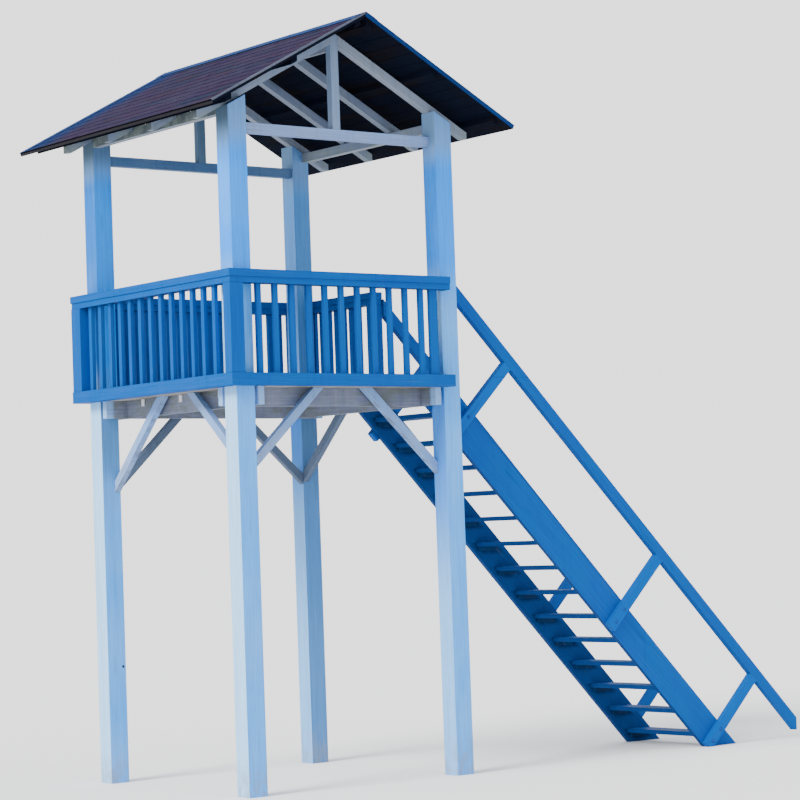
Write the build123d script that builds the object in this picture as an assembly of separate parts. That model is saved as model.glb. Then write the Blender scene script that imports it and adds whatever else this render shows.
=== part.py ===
from build123d import *
import os
from math import cos, radians, sin, tan

# Open timber lifeguard tower. Millimetres, +Z up. The origin is the centre of the square of
# the four posts, at ground level. -Y is the front gable, +X the side with the stair.

# ---- driving dimensions ----------------------------------------------------------------
FOOTPRINT = 2300.0          # over the outer faces of the posts, both ways
POST = 175.0                # square section of a post
FLOOR_UNDERSIDE = 3300.0    # top of the beams, under the floor boards
BEAM_DEPTH = 150.0
BEAM_WIDTH = 60.0
BEAM_GAP = 33.0             # packer between a beam and the posts' inner faces
PACKER = 70.0
JOIST_DEPTH = 60.0
JOIST_WIDTH = 45.0
JOIST_INSET = 282.0         # middle of an outer joist from the beam beside it
JOIST_END = 12.0            # how far a joist runs past the beam that it is let into
BOARD_THICKNESS = 30.0
BOARD_COUNT = 15
BOARD_GAP = 6.0

BRACE = 70.0
BRACE_THICKNESS = 55.0
BRACE_RISE = 730.0          # of the front and right-hand braces; the others differ a little
BRACE_RUN = 775.0

RAIL_TOP = 4237.0           # top of the railing cap
RAIL_WIDTH = 110.0          # how far the railing stands out from the posts
BOTTOM_RAIL_DEPTH = 100.0
CAP_DEPTH = 60.0
SUB_RAIL_DEPTH = 52.0
SUB_RAIL_WIDTH = 92.0
RAIL_POST = 100.0
CORNER_POST = 128.0         # a corner post along the side that it starts
BALUSTER_WIDTH = 46.0
BALUSTER_THICKNESS = 34.0
BALUSTER_PITCH = 166.0      # about; a bay is shared out evenly
BACK_PITCH = 112.0
END_UPRIGHT = 80.0          # wide last upright of the front railing
END_UPRIGHT_INSET = 138.0   # its middle from the right-hand post's left face
CAP_STOP = 150.0            # the front cap stops this far short of the post's outer face
RAIL_STOP = 130.0           # and the front bottom rail this far

RISERS = 15
FIRST_RISE = 130.0          # ground to the lowest tread
STAIR_SLOPE = 45.4          # degrees
STRINGER_DEPTH = 285.0
STRINGER_THICKNESS = 45.0
STAIR_WIDTH = 923.0         # between the stringers, at the head
STAIR_SPLAY = 1.25          # degrees that the far stringer opens towards the foot
STAIR_POST_GAP = 21.0       # far stringer's outer face to the railing's end post, along Y
STRINGER_LIFT = 2.0         # stringer's upper edge over the floor boards at the tower's face
TREAD_DEPTH = 235.0
TREAD_THICKNESS = 38.0
CLEAT = 40.0
CLEAT_LENGTH = 190.0

HANDRAIL_DEPTH = 100.0
HANDRAIL_WIDTH = 60.0
HANDRAIL_HEIGHT = 620.0     # its middle from the stringer's upper edge, square to the slope
HANDRAIL_RUNOUT = 752.0     # past the place where the stringers' upper edge meets the ground
HANDRAIL_END = 76.0         # level cut under its lower end
HANDRAIL_POST = 95.0
TOP_POST_INSET = 230.0      # along X, from the tower's face to the first handrail post
FOOT_POST_INSET = 200.0     # from the stringers' upper edge at the ground to the last one
FOOT_POST_SPACING = 1140.0  # from the last one to the middle one
FAR_POST_SHIFTS = (-50.0, 55.0, -28.0)  # far posts against the near ones, down the stair
FAR_POST_LAPS = (27.0, -40.0, -40.0)    # past the stringer's lower edge

ROOF_SLOPE = 28.4           # degrees
EAVE_OVERHANG = 406.0
FRONT_OVERHANG = 380.0
BACK_OVERHANG = 410.0
COVERING = 14.0
DECK = 22.0
PURLIN_DEPTH = 44.0
PURLIN_WIDTH = 60.0
RAFTER_DEPTH = 72.0
RAFTER_WIDTH = 70.0
RAFTER_TAIL = 245.0         # past the posts' outer faces, to the plumb cut
TAIL_DROP = 135.0           # level cut under the tails, below the plates' top
TRUSS_SETBACK = 85.0        # outer face of a truss behind the posts' outer faces
TIE_DROP = 61.0             # top of the tie beams under the plates' underside
TIE_DEPTH = 85.0
TIE_WIDTH = 70.0
KING_POST = 78.0
KING_POST_THICKNESS = 65.0
PLATE_DEPTH = 80.0
PLATE_WIDTH = 70.0
PLATE_TOP = 5604.0
BIRDSMOUTH = 24.0           # how far the rafters drop over the plates' outer edges
RIDGE_BOARD = 30.0
RIDGE_BOARD_DEPTH = 140.0
RIDGE_CAP = 130.0
RIDGE_CAP_THICKNESS = 5.0

# ---- places worked out from them -------------------------------------------------------
OUTER = FOOTPRINT / 2
INNER = OUTER - POST
BEAM_BOTTOM = FLOOR_UNDERSIDE - BEAM_DEPTH
BEAM_OUTER = INNER - BEAM_GAP
BEAM_INNER = BEAM_OUTER - BEAM_WIDTH
FLOOR_TOP = FLOOR_UNDERSIDE + BOARD_THICKNESS
RAIL_FACE = OUTER + RAIL_WIDTH
RAIL_MIDDLE = OUTER + RAIL_WIDTH / 2
BOTTOM_RAIL_TOP = FLOOR_UNDERSIDE + BOTTOM_RAIL_DEPTH
CAP_BOTTOM = RAIL_TOP - CAP_DEPTH
SUB_RAIL_BOTTOM = CAP_BOTTOM - SUB_RAIL_DEPTH

SLOPE_RISE = tan(radians(STAIR_SLOPE))
NEAR_STRINGER = -INNER                                   # outer face, against the post
FAR_STRINGER = -INNER + STRINGER_THICKNESS * 2 + STAIR_WIDTH
STRINGER_HEIGHT = STRINGER_DEPTH / cos(radians(STAIR_SLOPE))
RISE = (FLOOR_TOP - FIRST_RISE) / (RISERS - 1)

ROOF_RISE = tan(radians(ROOF_SLOPE))
RAFTER_BOTTOM_AT_RIDGE = PLATE_TOP - BIRDSMOUTH + OUTER * ROOF_RISE
RAFTER_TOP_AT_RIDGE = RAFTER_BOTTOM_AT_RIDGE + RAFTER_DEPTH / cos(radians(ROOF_SLOPE))
RIDGE_TOP = RAFTER_TOP_AT_RIDGE + (PURLIN_DEPTH + DECK + COVERING) / cos(radians(ROOF_SLOPE))
TIE_TOP = PLATE_TOP - PLATE_DEPTH - TIE_DROP
EAVE = OUTER + EAVE_OVERHANG
TRUSS_MIDDLE = OUTER - TRUSS_SETBACK - RAFTER_WIDTH / 2


# ---- helpers ---------------------------------------------------------------------------
def timber(x, y, z):
    """A straight squared timber between two limits along each axis."""
    size = [limits[1] - limits[0] for limits in (x, y, z)]
    return Pos(x[0], y[0], z[0]) * Box(*size, align=Align.MIN)


def cut_along_y(outline, y):
    """A timber with this outline in X and Z, between two limits along Y."""
    edge = Polyline(*[(px, y[0], pz) for px, pz in outline], close=True)
    return extrude(make_face(edge), amount=y[1] - y[0], dir=(0, 1, 0))


def turned(shape, quarter_turns):
    """The shape turned about the tower's upright axis, seen from above."""
    return Rot(0, 0, 90 * quarter_turns) * shape


def stringer_edge(x):
    """Height of the stringers' upper edge at a place along X."""
    return FLOOR_TOP + STRINGER_LIFT - (x - OUTER) * SLOPE_RISE


def stringer_edge_place(z):
    """Place along X where the stringers' upper edge has this height."""
    return OUTER + (FLOOR_TOP + STRINGER_LIFT - z) / SLOPE_RISE


def rafter_underside(x):
    return RAFTER_BOTTOM_AT_RIDGE - abs(x) * ROOF_RISE


nodes = {}


# ---- posts: four squared timbers, cut to the rafters that they carry -----------------------
def post(side_x, side_y):
    x = sorted((side_x * INNER, side_x * OUTER))
    y = sorted((side_y * INNER, side_y * OUTER))
    outline = [(x[0], 0), (x[1], 0), (x[1], rafter_underside(x[1])), (x[0], rafter_underside(x[0]))]
    return cut_along_y(outline, y)


for place_y, side_y in (("front", -1), ("back", 1)):
    for place_x, side_x in (("left", -1), ("right", 1)):
        nodes[f"post_{place_y}_{place_x}"] = post(side_x, side_y)


# ---- platform: four beams inside the posts, halved where they cross, packed off the posts ------
def beam_along_x(side_y):
    y = sorted((side_y * BEAM_INNER, side_y * BEAM_OUTER))
    beam = timber((-OUTER, OUTER), y, (BEAM_BOTTOM, FLOOR_UNDERSIDE))
    for side_x in (-1, 1):
        x = sorted((side_x * BEAM_INNER, side_x * BEAM_OUTER))
        beam -= timber(x, y, (BEAM_BOTTOM, BEAM_BOTTOM + BEAM_DEPTH / 2))
    return beam


def beam_along_y(side_x):
    x = sorted((side_x * BEAM_INNER, side_x * BEAM_OUTER))
    beam = timber(x, (-OUTER, OUTER), (BEAM_BOTTOM, FLOOR_UNDERSIDE))
    for side_y in (-1, 1):
        y = sorted((side_y * BEAM_INNER, side_y * BEAM_OUTER))
        beam -= timber(x, y, (BEAM_BOTTOM + BEAM_DEPTH / 2, FLOOR_UNDERSIDE))
    for y in joist_limits():
        beam -= timber(x, y, (FLOOR_UNDERSIDE - JOIST_DEPTH, FLOOR_UNDERSIDE))
    return beam


def joist_limits():
    middles = (-BEAM_INNER + JOIST_INSET, 0.0, BEAM_INNER - JOIST_INSET)
    return [(y - JOIST_WIDTH / 2, y + JOIST_WIDTH / 2) for y in middles]


nodes["beam_front"] = beam_along_x(-1)
nodes["beam_back"] = beam_along_x(1)
nodes["beam_left"] = beam_along_y(-1)
nodes["beam_right"] = beam_along_y(1)
packer_place = (OUTER - PACKER / 2 - PACKER, OUTER - PACKER / 2)
packer_z = (BEAM_BOTTOM + JOIST_DEPTH / 2, FLOOR_UNDERSIDE - JOIST_DEPTH / 2)
packers = []
for side_x in (-1, 1):
    for side_y in (-1, 1):
        near_beam_x = sorted((side_x * BEAM_OUTER, side_x * INNER))
        near_beam_y = sorted((side_y * BEAM_OUTER, side_y * INNER))
        along_x = sorted((side_x * packer_place[0], side_x * packer_place[1]))
        along_y = sorted((side_y * packer_place[0], side_y * packer_place[1]))
        packers.append(timber(near_beam_x, along_y, packer_z))
        packers.append(timber(along_x, near_beam_y, packer_z))
nodes["beam_packers"] = Compound(packers)
joist_x = (-BEAM_OUTER - JOIST_END, BEAM_OUTER)
joist_z = (FLOOR_UNDERSIDE - JOIST_DEPTH, FLOOR_UNDERSIDE)
nodes["floor_joists"] = Compound([timber(joist_x, y, joist_z) for y in joist_limits()])


# ---- floor: boards along Y, notched round the posts ------------------------------------------
def floor_boards():
    width = (FOOTPRINT - BOARD_GAP * (BOARD_COUNT - 1)) / BOARD_COUNT
    boards = []
    for number in range(BOARD_COUNT):
        start = -OUTER + number * (width + BOARD_GAP)
        board = timber((start, start + width), (-OUTER, OUTER), (FLOOR_UNDERSIDE, FLOOR_TOP))
        for side_x in (-1, 1):
            for side_y in (-1, 1):
                board -= post(side_x, side_y)
        boards += board.solids()
    return Compound([board for board in boards if board.bounding_box().size.Y > POST])


nodes["floor_boards"] = floor_boards()


# ---- knee braces: post to floor, in front of the beams ----------------------------------------
def knee_brace(rise, run):
    """The brace at the front left post: its foot is cut plumb, its head level."""
    length = (rise ** 2 + run ** 2) ** 0.5
    shoulder = BRACE * length / run
    head = BRACE * length / rise
    foot_z = FLOOR_UNDERSIDE - rise
    outline = [
        (-INNER, foot_z),
        (-INNER + run, FLOOR_UNDERSIDE),
        (-INNER + run - head, FLOOR_UNDERSIDE),
        (-INNER, foot_z + shoulder),
    ]
    return cut_along_y(outline, (-INNER - BRACE_THICKNESS, -INNER))


def other_hand(brace):
    return mirror(brace, about=Plane.YZ)


steep = knee_brace(BRACE_RISE, BRACE_RUN)
nodes["knee_brace_front_left"] = steep
nodes["knee_brace_front_right"] = other_hand(steep)
nodes["knee_brace_left_front"] = turned(other_hand(knee_brace(BRACE_RISE - 80, BRACE_RUN - 20)), -1)
nodes["knee_brace_left_back"] = turned(knee_brace(BRACE_RISE + 55, BRACE_RUN + 55), -1)
nodes["knee_brace_back_left"] = turned(other_hand(knee_brace(BRACE_RISE + 38, BRACE_RUN + 40)), 2)
nodes["knee_brace_back_right"] = turned(knee_brace(BRACE_RISE + 20, BRACE_RUN + 50), 2)
nodes["knee_brace_right_back"] = turned(other_hand(knee_brace(BRACE_RISE, BRACE_RUN + 15)), 1)


# ---- railing: rails on the posts' outer faces, balusters between them -------------------------
# Each side is made as the front one and turned. "start" and "end" run left to right, seen from
# outside; at its start a rail passes the corner, at its end it butts the next side's rail.
def rail(width, start, end, z):
    middle = -RAIL_MIDDLE
    return timber((start, end), (middle - width / 2, middle + width / 2), z)


def uprights(places, width, thickness):
    z = (BOTTOM_RAIL_TOP, SUB_RAIL_BOTTOM)
    return [rail(thickness, place - width / 2, place + width / 2, z) for place in places]


def panel(bottom_limits, sub_limits, balusters):
    """Bottom rail, sub-rail and balusters of one side, as one framed panel."""
    frame = rail(RAIL_WIDTH, *bottom_limits, (FLOOR_UNDERSIDE, BOTTOM_RAIL_TOP))
    frame += rail(SUB_RAIL_WIDTH, *sub_limits, (SUB_RAIL_BOTTOM, CAP_BOTTOM))
    for baluster in balusters:
        frame += baluster
    return frame


def spread(first, last, pitch=BALUSTER_PITCH):
    """Balusters spread evenly from the first to the last, at about the wanted pitch."""
    bays = max(1, round((last - first) / pitch))
    places = [first + (last - first) * number / bays for number in range(bays + 1)]
    return uprights(places, BALUSTER_WIDTH, BALUSTER_THICKNESS)


def corner_post(width):
    start = -RAIL_FACE + (RAIL_WIDTH - RAIL_POST) / 2
    return uprights([start + width / 2], width, RAIL_POST)[0]


inset = (RAIL_WIDTH - SUB_RAIL_WIDTH) / 2
sub_start = -RAIL_FACE + inset
sub_end = OUTER + inset
front_cap_end = OUTER - CAP_STOP
front_rail_end = OUTER - RAIL_STOP
end_place = INNER - END_UPRIGHT_INSET
end_upright = uprights([end_place], END_UPRIGHT, BALUSTER_THICKNESS)
stair_end = FAR_STRINGER + STAIR_POST_GAP
stair_side = stair_end + RAIL_POST / 2

front_balusters = spread(-RAIL_FACE + 306, end_place - 129) + end_upright
left_balusters = spread(-RAIL_FACE + 267, RAIL_FACE - 303)
back_balusters = spread(-RAIL_FACE + 230, RAIL_FACE - 200, BACK_PITCH)
right_balusters = spread(stair_side + 231, RAIL_FACE - 232, BACK_PITCH)

whole_side = (-RAIL_FACE, OUTER)
front_side = (-RAIL_FACE, front_rail_end)
stair_to_back = (stair_end, OUTER)
nodes["railing_front"] = panel(front_side, (sub_start, front_cap_end), front_balusters)
nodes["railing_left"] = turned(panel(whole_side, (sub_start, sub_end), left_balusters), -1)
nodes["railing_back"] = turned(panel(whole_side, (sub_start, sub_end), back_balusters), 2)
nodes["railing_right"] = turned(panel(stair_to_back, (stair_end, sub_end), right_balusters), 1)
nodes["railing_post_front_left"] = corner_post(CORNER_POST)
nodes["railing_post_back_left"] = turned(corner_post(CORNER_POST + 17), -1)
nodes["railing_post_back_right"] = turned(corner_post(CORNER_POST), 2)
nodes["railing_post_stair"] = turned(uprights([stair_side], RAIL_POST, RAIL_POST)[0], 1)

cap_z = (CAP_BOTTOM, RAIL_TOP)
nodes["handrail_cap_front"] = rail(RAIL_WIDTH, -RAIL_FACE, front_cap_end, cap_z)
nodes["handrail_cap_left"] = turned(rail(RAIL_WIDTH, -RAIL_FACE, OUTER, cap_z), -1)
nodes["handrail_cap_back"] = turned(rail(RAIL_WIDTH, -RAIL_FACE, OUTER, cap_z), 2)
nodes["handrail_cap_right"] = turned(rail(RAIL_WIDTH, stair_end, OUTER, cap_z), 1)


# ---- stair: two plank stringers, fourteen treads on cleats ------------------------------------
def stringer(y, notch):
    """Level at the foot; at the head level under the floor and notched for the beams."""
    lower_foot = stringer_edge_place(STRINGER_HEIGHT)
    outline = [
        (lower_foot, 0),
        (stringer_edge_place(0), 0),
        (stringer_edge_place(FLOOR_UNDERSIDE), FLOOR_UNDERSIDE),
        (notch, FLOOR_UNDERSIDE),
        (notch, BEAM_BOTTOM),
        (stringer_edge_place(BEAM_BOTTOM + STRINGER_HEIGHT), BEAM_BOTTOM),
    ]
    return cut_along_y(outline, y)


def tread_middle(z):
    """Place along X of the middle of the stringers at this height."""
    return stringer_edge_place(z + STRINGER_HEIGHT / 2)


def splayed(shape):
    """The shape swung about the head of the far stringer's outer face."""
    return Pos(OUTER, FAR_STRINGER, 0) * Rot(0, 0, STAIR_SPLAY) * Pos(-OUTER, -FAR_STRINGER, 0) * shape


def far_side(x):
    """Place along Y of the far stringer's inner face."""
    angle = radians(STAIR_SPLAY)
    return FAR_STRINGER + (x - OUTER) * tan(angle) - STRINGER_THICKNESS / cos(angle)


def cut_in_plan(outline, z):
    """A timber with this outline in X and Y, between two heights."""
    edge = Polyline(*[(px, py, z[0]) for px, py in outline], close=True)
    return extrude(make_face(edge), amount=z[1] - z[0], dir=(0, 0, 1))


near_inner = NEAR_STRINGER + STRINGER_THICKNESS
far_inner = FAR_STRINGER - STRINGER_THICKNESS
far_stringer = splayed(stringer((far_inner, FAR_STRINGER), BEAM_OUTER))
nodes["stair_stringer_near"] = stringer((NEAR_STRINGER, near_inner), OUTER)
nodes["stair_stringer_far"] = far_stringer - nodes["beam_right"]

treads = []
cleats = []
for number in range(1, RISERS):
    top = FLOOR_TOP - number * RISE
    underside = top - TREAD_THICKNESS
    middle = tread_middle(top - TREAD_THICKNESS / 2)
    a, b = middle - TREAD_DEPTH / 2, middle + TREAD_DEPTH / 2
    outline = [(a, near_inner), (b, near_inner), (b, far_side(b)), (a, far_side(a))]
    treads.append(cut_in_plan(outline, (underside, top)))
    a, b = middle - CLEAT_LENGTH / 2, middle + CLEAT_LENGTH / 2
    far_edge = [(b, far_side(b)), (a, far_side(a))]
    cleats.append(timber((a, b), (near_inner, near_inner + CLEAT), (underside - CLEAT, underside)))
    outline = [(px, py - CLEAT) for px, py in reversed(far_edge)] + far_edge
    cleats.append(cut_in_plan(outline, (underside - CLEAT, underside)))
nodes["stair_treads"] = Compound(treads)
nodes["stair_cleats"] = Compound(cleats)


# ---- stair handrails, on posts set square to the stringers ------------------------------------
def square_off(place, distance):
    """The point at this distance from the stringer's upper edge, square to the slope."""
    angle = radians(STAIR_SLOPE)
    return (place + distance * sin(angle), stringer_edge(place) + distance * cos(angle))


def handrail_underside(x, distance):
    return stringer_edge(x) + distance / cos(radians(STAIR_SLOPE))


def handrail(y, start):
    """Plumb cuts at both ends, and a level cut under the lower one."""
    lower = HANDRAIL_HEIGHT - HANDRAIL_DEPTH / 2
    upper = HANDRAIL_HEIGHT + HANDRAIL_DEPTH / 2
    end = stringer_edge_place(0) + HANDRAIL_RUNOUT
    heel = end - (HANDRAIL_END - handrail_underside(end, lower)) / SLOPE_RISE
    outline = [
        (start, handrail_underside(start, lower)),
        (heel, HANDRAIL_END),
        (end, HANDRAIL_END),
        (end, handrail_underside(end, upper)),
        (start, handrail_underside(start, upper)),
    ]
    return cut_along_y(outline, y)


def handrail_posts(y, shifts, laps):
    """Each laps the stringer's whole depth, butts the handrail, clears the tower's post and
    is cut level where it would reach below the ground."""
    below_ground = timber((OUTER, 4 * OUTER), (-OUTER, OUTER), (-STRINGER_DEPTH, 0))
    posts = []
    step = HANDRAIL_POST / 2 * cos(radians(STAIR_SLOPE))
    head = HANDRAIL_HEIGHT - HANDRAIL_DEPTH / 2
    last = stringer_edge_place(0) - FOOT_POST_INSET
    places = (OUTER + TOP_POST_INSET, last - FOOT_POST_SPACING, last)
    for place, shift, lap in zip(places, shifts, laps):
        foot = -STRINGER_DEPTH - lap
        outline = [
            square_off(place + shift - step, foot),
            square_off(place + shift + step, foot),
            square_off(place + shift + step, head),
            square_off(place + shift - step, head),
        ]
        posts.append(cut_along_y(outline, y) - nodes["post_front_right"] - below_ground)
    return Compound(posts)


near_y = (NEAR_STRINGER - HANDRAIL_WIDTH, NEAR_STRINGER)
far_y = (FAR_STRINGER, FAR_STRINGER + HANDRAIL_WIDTH)
far_handrail = splayed(handrail(far_y, RAIL_FACE)) - nodes["railing_post_stair"]
nodes["stair_handrail_near"] = handrail(near_y, OUTER)
nodes["stair_handrail_far"] = far_handrail
nodes["stair_handrail_posts_near"] = handrail_posts(near_y, (0, 0, 0), (0, 0, 0))
nodes["stair_handrail_posts_far"] = splayed(handrail_posts(far_y, FAR_POST_SHIFTS, FAR_POST_LAPS))


# ---- roof frame: two king-post trusses on the posts, two rafter pairs between -----------------
def rafter_pair(middle_y, foot_x):
    """Plumb cut at the ridge (foot_x from the middle); level and plumb cuts at the tail."""
    y = (middle_y - RAFTER_WIDTH / 2, middle_y + RAFTER_WIDTH / 2)
    tail = OUTER + RAFTER_TAIL
    tail_z = PLATE_TOP - TAIL_DROP
    heel = (RAFTER_BOTTOM_AT_RIDGE - tail_z) / ROOF_RISE
    outline = [
        (foot_x, rafter_underside(foot_x)),
        (heel, tail_z),
        (tail, tail_z),
        (tail, RAFTER_TOP_AT_RIDGE - tail * ROOF_RISE),
        (foot_x, RAFTER_TOP_AT_RIDGE - foot_x * ROOF_RISE),
    ]
    right = cut_along_y(outline, y)
    return [right, mirror(right, about=Plane.YZ)]


def seated(rafters):
    """The rafters notched over the wall plates."""
    plates = []
    for side_x in (-1, 1):
        x = sorted((side_x * OUTER, side_x * (OUTER - PLATE_WIDTH)))
        plates.append(timber(x, (-INNER, INNER), (PLATE_TOP - PLATE_DEPTH, PLATE_TOP)))
    return [rafter - plates[0] - plates[1] for rafter in rafters]


spacing = 2 * TRUSS_MIDDLE / 3
nodes["rafters_front"] = Compound(rafter_pair(-TRUSS_MIDDLE, KING_POST / 2))
nodes["rafters_back"] = Compound(rafter_pair(TRUSS_MIDDLE, KING_POST / 2))
middle_pairs = rafter_pair(-spacing / 2, RIDGE_BOARD / 2) + rafter_pair(spacing / 2, RIDGE_BOARD / 2)
nodes["rafters_middle"] = Compound(seated(middle_pairs))


def king_post(middle_y):
    y = (middle_y - KING_POST_THICKNESS / 2, middle_y + KING_POST_THICKNESS / 2)
    half = KING_POST / 2
    top_at_side = RAFTER_TOP_AT_RIDGE - half * ROOF_RISE
    outline = [(-half, TIE_TOP), (half, TIE_TOP), (half, top_at_side), (0, RAFTER_TOP_AT_RIDGE)]
    outline.append((-half, top_at_side))
    return cut_along_y(outline, y)


for place_y, middle_y in (("front", -TRUSS_MIDDLE), ("back", TRUSS_MIDDLE)):
    tie_y = (middle_y - TIE_WIDTH / 2, middle_y + TIE_WIDTH / 2)
    nodes[f"tie_beam_{place_y}"] = timber((-INNER, INNER), tie_y, (TIE_TOP - TIE_DEPTH, TIE_TOP))
    nodes[f"king_post_{place_y}"] = king_post(middle_y)

plate_z = (PLATE_TOP - PLATE_DEPTH, PLATE_TOP)
nodes["wall_plate_left"] = timber((-OUTER, -OUTER + PLATE_WIDTH), (-INNER, INNER), plate_z)
nodes["wall_plate_right"] = timber((OUTER - PLATE_WIDTH, OUTER), (-INNER, INNER), plate_z)

ridge_board_top = RAFTER_TOP_AT_RIDGE - RIDGE_BOARD / 2 * ROOF_RISE
ridge_board_y = TRUSS_MIDDLE - KING_POST_THICKNESS / 2
nodes["ridge_board"] = timber(
    (-RIDGE_BOARD / 2, RIDGE_BOARD / 2),
    (-ridge_board_y, ridge_board_y),
    (ridge_board_top - RIDGE_BOARD_DEPTH, ridge_board_top),
)


# ---- roof: purlins, deck, covering and ridge cap ----------------------------------------------
roof_y = (-OUTER - FRONT_OVERHANG, OUTER + BACK_OVERHANG)
purlin_y = (roof_y[0] + PURLIN_DEPTH, roof_y[1] - PURLIN_DEPTH)


def purlins():
    """Three battens on the right-hand rafters, at the ridge, half-way and over the tails."""
    tail = OUTER + RAFTER_TAIL - PURLIN_WIDTH
    level = PURLIN_DEPTH / cos(radians(ROOF_SLOPE))
    battens = []
    for x in (PURLIN_WIDTH / 2, (PURLIN_WIDTH / 2 + tail) / 2, tail):
        bottom = [(px, RAFTER_TOP_AT_RIDGE - px * ROOF_RISE) for px in (x, x + PURLIN_WIDTH)]
        top = [(px, pz + level) for px, pz in reversed(bottom)]
        battens.append(cut_along_y(bottom + top, purlin_y))
    return Compound(battens)


nodes["roof_purlins_right"] = purlins()
nodes["roof_purlins_left"] = mirror(purlins(), about=Plane.YZ)


def roof_layer(below, thickness, eave):
    """One sloping sheet on the right, its top this far below the roof surface."""
    slant = cos(radians(ROOF_SLOPE))
    top = RIDGE_TOP - below / slant
    bottom = top - thickness / slant
    outline = [(0, bottom), (eave, bottom - eave * ROOF_RISE), (eave, top - eave * ROOF_RISE), (0, top)]
    return cut_along_y(outline, roof_y)


deck = roof_layer(COVERING, DECK, EAVE)
covering = roof_layer(0, COVERING, EAVE)
nodes["roof_deck_right"] = deck
nodes["roof_deck_left"] = mirror(deck, about=Plane.YZ)
nodes["roof_covering_right"] = covering
nodes["roof_covering_left"] = mirror(covering, about=Plane.YZ)


def ridge_cap():
    """A bent strip over the ridge."""
    edge = RIDGE_TOP - RIDGE_CAP * ROOF_RISE
    rise = RIDGE_CAP_THICKNESS / cos(radians(ROOF_SLOPE))
    outline = [(0, RIDGE_TOP), (RIDGE_CAP, edge), (RIDGE_CAP, edge + rise), (0, RIDGE_TOP + rise)]
    outline += [(-RIDGE_CAP, edge + rise), (-RIDGE_CAP, edge)]
    return cut_along_y(outline, roof_y)


nodes["ridge_cap"] = ridge_cap()


# ---- one file for each node -------------------------------------------------------------------
os.makedirs("parts", exist_ok=True)
for name, shape in nodes.items():
    export_step(shape, f"parts/{name}.step")
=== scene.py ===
from math import cos, hypot, pi, radians, sin, tan

import bpy
import numpy as np
from mathutils import Matrix, Vector


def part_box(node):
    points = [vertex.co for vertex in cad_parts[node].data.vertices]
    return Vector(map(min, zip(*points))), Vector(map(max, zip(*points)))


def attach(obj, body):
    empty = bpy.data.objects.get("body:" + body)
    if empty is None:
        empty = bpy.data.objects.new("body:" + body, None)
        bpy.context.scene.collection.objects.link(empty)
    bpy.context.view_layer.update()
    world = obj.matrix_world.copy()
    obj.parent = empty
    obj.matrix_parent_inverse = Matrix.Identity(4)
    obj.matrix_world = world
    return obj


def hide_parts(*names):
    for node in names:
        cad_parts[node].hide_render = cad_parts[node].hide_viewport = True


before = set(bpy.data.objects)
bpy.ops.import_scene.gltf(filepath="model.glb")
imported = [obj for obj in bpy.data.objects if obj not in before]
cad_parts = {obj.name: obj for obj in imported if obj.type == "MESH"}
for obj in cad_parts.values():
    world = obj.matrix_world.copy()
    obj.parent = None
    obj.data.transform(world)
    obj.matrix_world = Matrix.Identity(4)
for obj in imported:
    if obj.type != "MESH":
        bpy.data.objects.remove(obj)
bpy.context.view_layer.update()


# ---- Tower posts ---------------------------------------------------------------
# Four squared softwood posts carry the platform and the roof in one length each. They are
# brushed with thin light blue paint. Paler on one side is painted sunlight, the azure near
# the top is partly the paint's own blue and partly a painted reflection of the sky, and the
# darker parts are painted shade and the eave's painted shadow. The feet are scuffed and
# splashed with sand.
def add(tree, kind, inputs=None, **settings):
    """One shader node. An input that is a socket is linked, any other is set as a value."""
    node = tree.nodes.new("ShaderNode" + kind)
    for key, value in settings.items():
        setattr(node, key, value)
    for key, value in (inputs or {}).items():
        if isinstance(value, bpy.types.NodeSocket):
            tree.links.new(value, node.inputs[key])
        else:
            node.inputs[key].default_value = value
    return node


def work_out(tree, operation, *values):
    """The values put through one Math operation."""
    return add(tree, "Math", dict(enumerate(values)), operation=operation).outputs[0]


def reckon(tree, operation, first, second):
    """The two values put through one Math operation, kept between 0 and 1."""
    inputs = {0: first, 1: second}
    return add(tree, "Math", inputs, operation=operation, use_clamp=True).outputs[0]


def times(tree, mask, *others):
    """The mask multiplied by the other masks or shares, one after another."""
    for other in others:
        mask = reckon(tree, "MULTIPLY", mask, other)
    return mask


def most(tree, first, second):
    """The larger of the two masks."""
    return reckon(tree, "MAXIMUM", first, second)


def less(tree, mask, whole=1.0):
    """What the mask leaves of the whole."""
    return reckon(tree, "SUBTRACT", whole, mask)


def full(colour):
    """Red, green and blue made opaque. A colour socket stays as it is."""
    return (*colour, 1) if isinstance(colour, tuple) else colour


def stain(tree, amount, under, over):
    """The colour under with the colour over laid on it by this amount."""
    inputs = {0: amount, 6: full(under), 7: full(over)}
    return add(tree, "Mix", inputs, data_type="RGBA").outputs[2]


def glaze(tree, colour, tint):
    """The colour multiplied by a tint."""
    inputs = {0: 1.0, 6: full(colour), 7: full(tint)}
    return add(tree, "Mix", inputs, data_type="RGBA", blend_type="MULTIPLY").outputs[2]


def instead(tree, mask, first, second):
    """The first place, or the second one where the mask is 1."""
    return add(tree, "Mix", {0: mask, 4: first, 5: second}, data_type="VECTOR").outputs[1]


def rising(tree, value, start, end, top=1.0):
    """0 where the value is at start, top where it is at end, with a smooth rise between."""
    inputs = {"Value": value, "From Min": start, "From Max": end, "To Max": top}
    return add(tree, "MapRange", inputs, interpolation_type="SMOOTHSTEP").outputs[0]


def stretched(tree, place, stretch):
    """The place multiplied by this stretch, so a small number draws a pattern out."""
    return add(tree, "VectorMath", {0: place, 1: stretch}, operation="MULTIPLY").outputs[0]


def noise(tree, place, stretch, detail=4.0, roughness=0.55):
    """Noise on the stretched place."""
    inputs = {"Vector": stretched(tree, place, stretch), "Scale": 1.0, "Detail": detail,
              "Roughness": roughness}
    return add(tree, "TexNoise", inputs).outputs[0]


def axes(tree, vector):
    """The vector's parts along X, Y and Z."""
    return tuple(add(tree, "SeparateXYZ", {0: vector}).outputs)


def facing(tree):
    """Which way the surface faces: the parts of its flat normal along X, Y and Z."""
    return axes(tree, add(tree, "NewGeometry").outputs["True Normal"])


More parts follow.
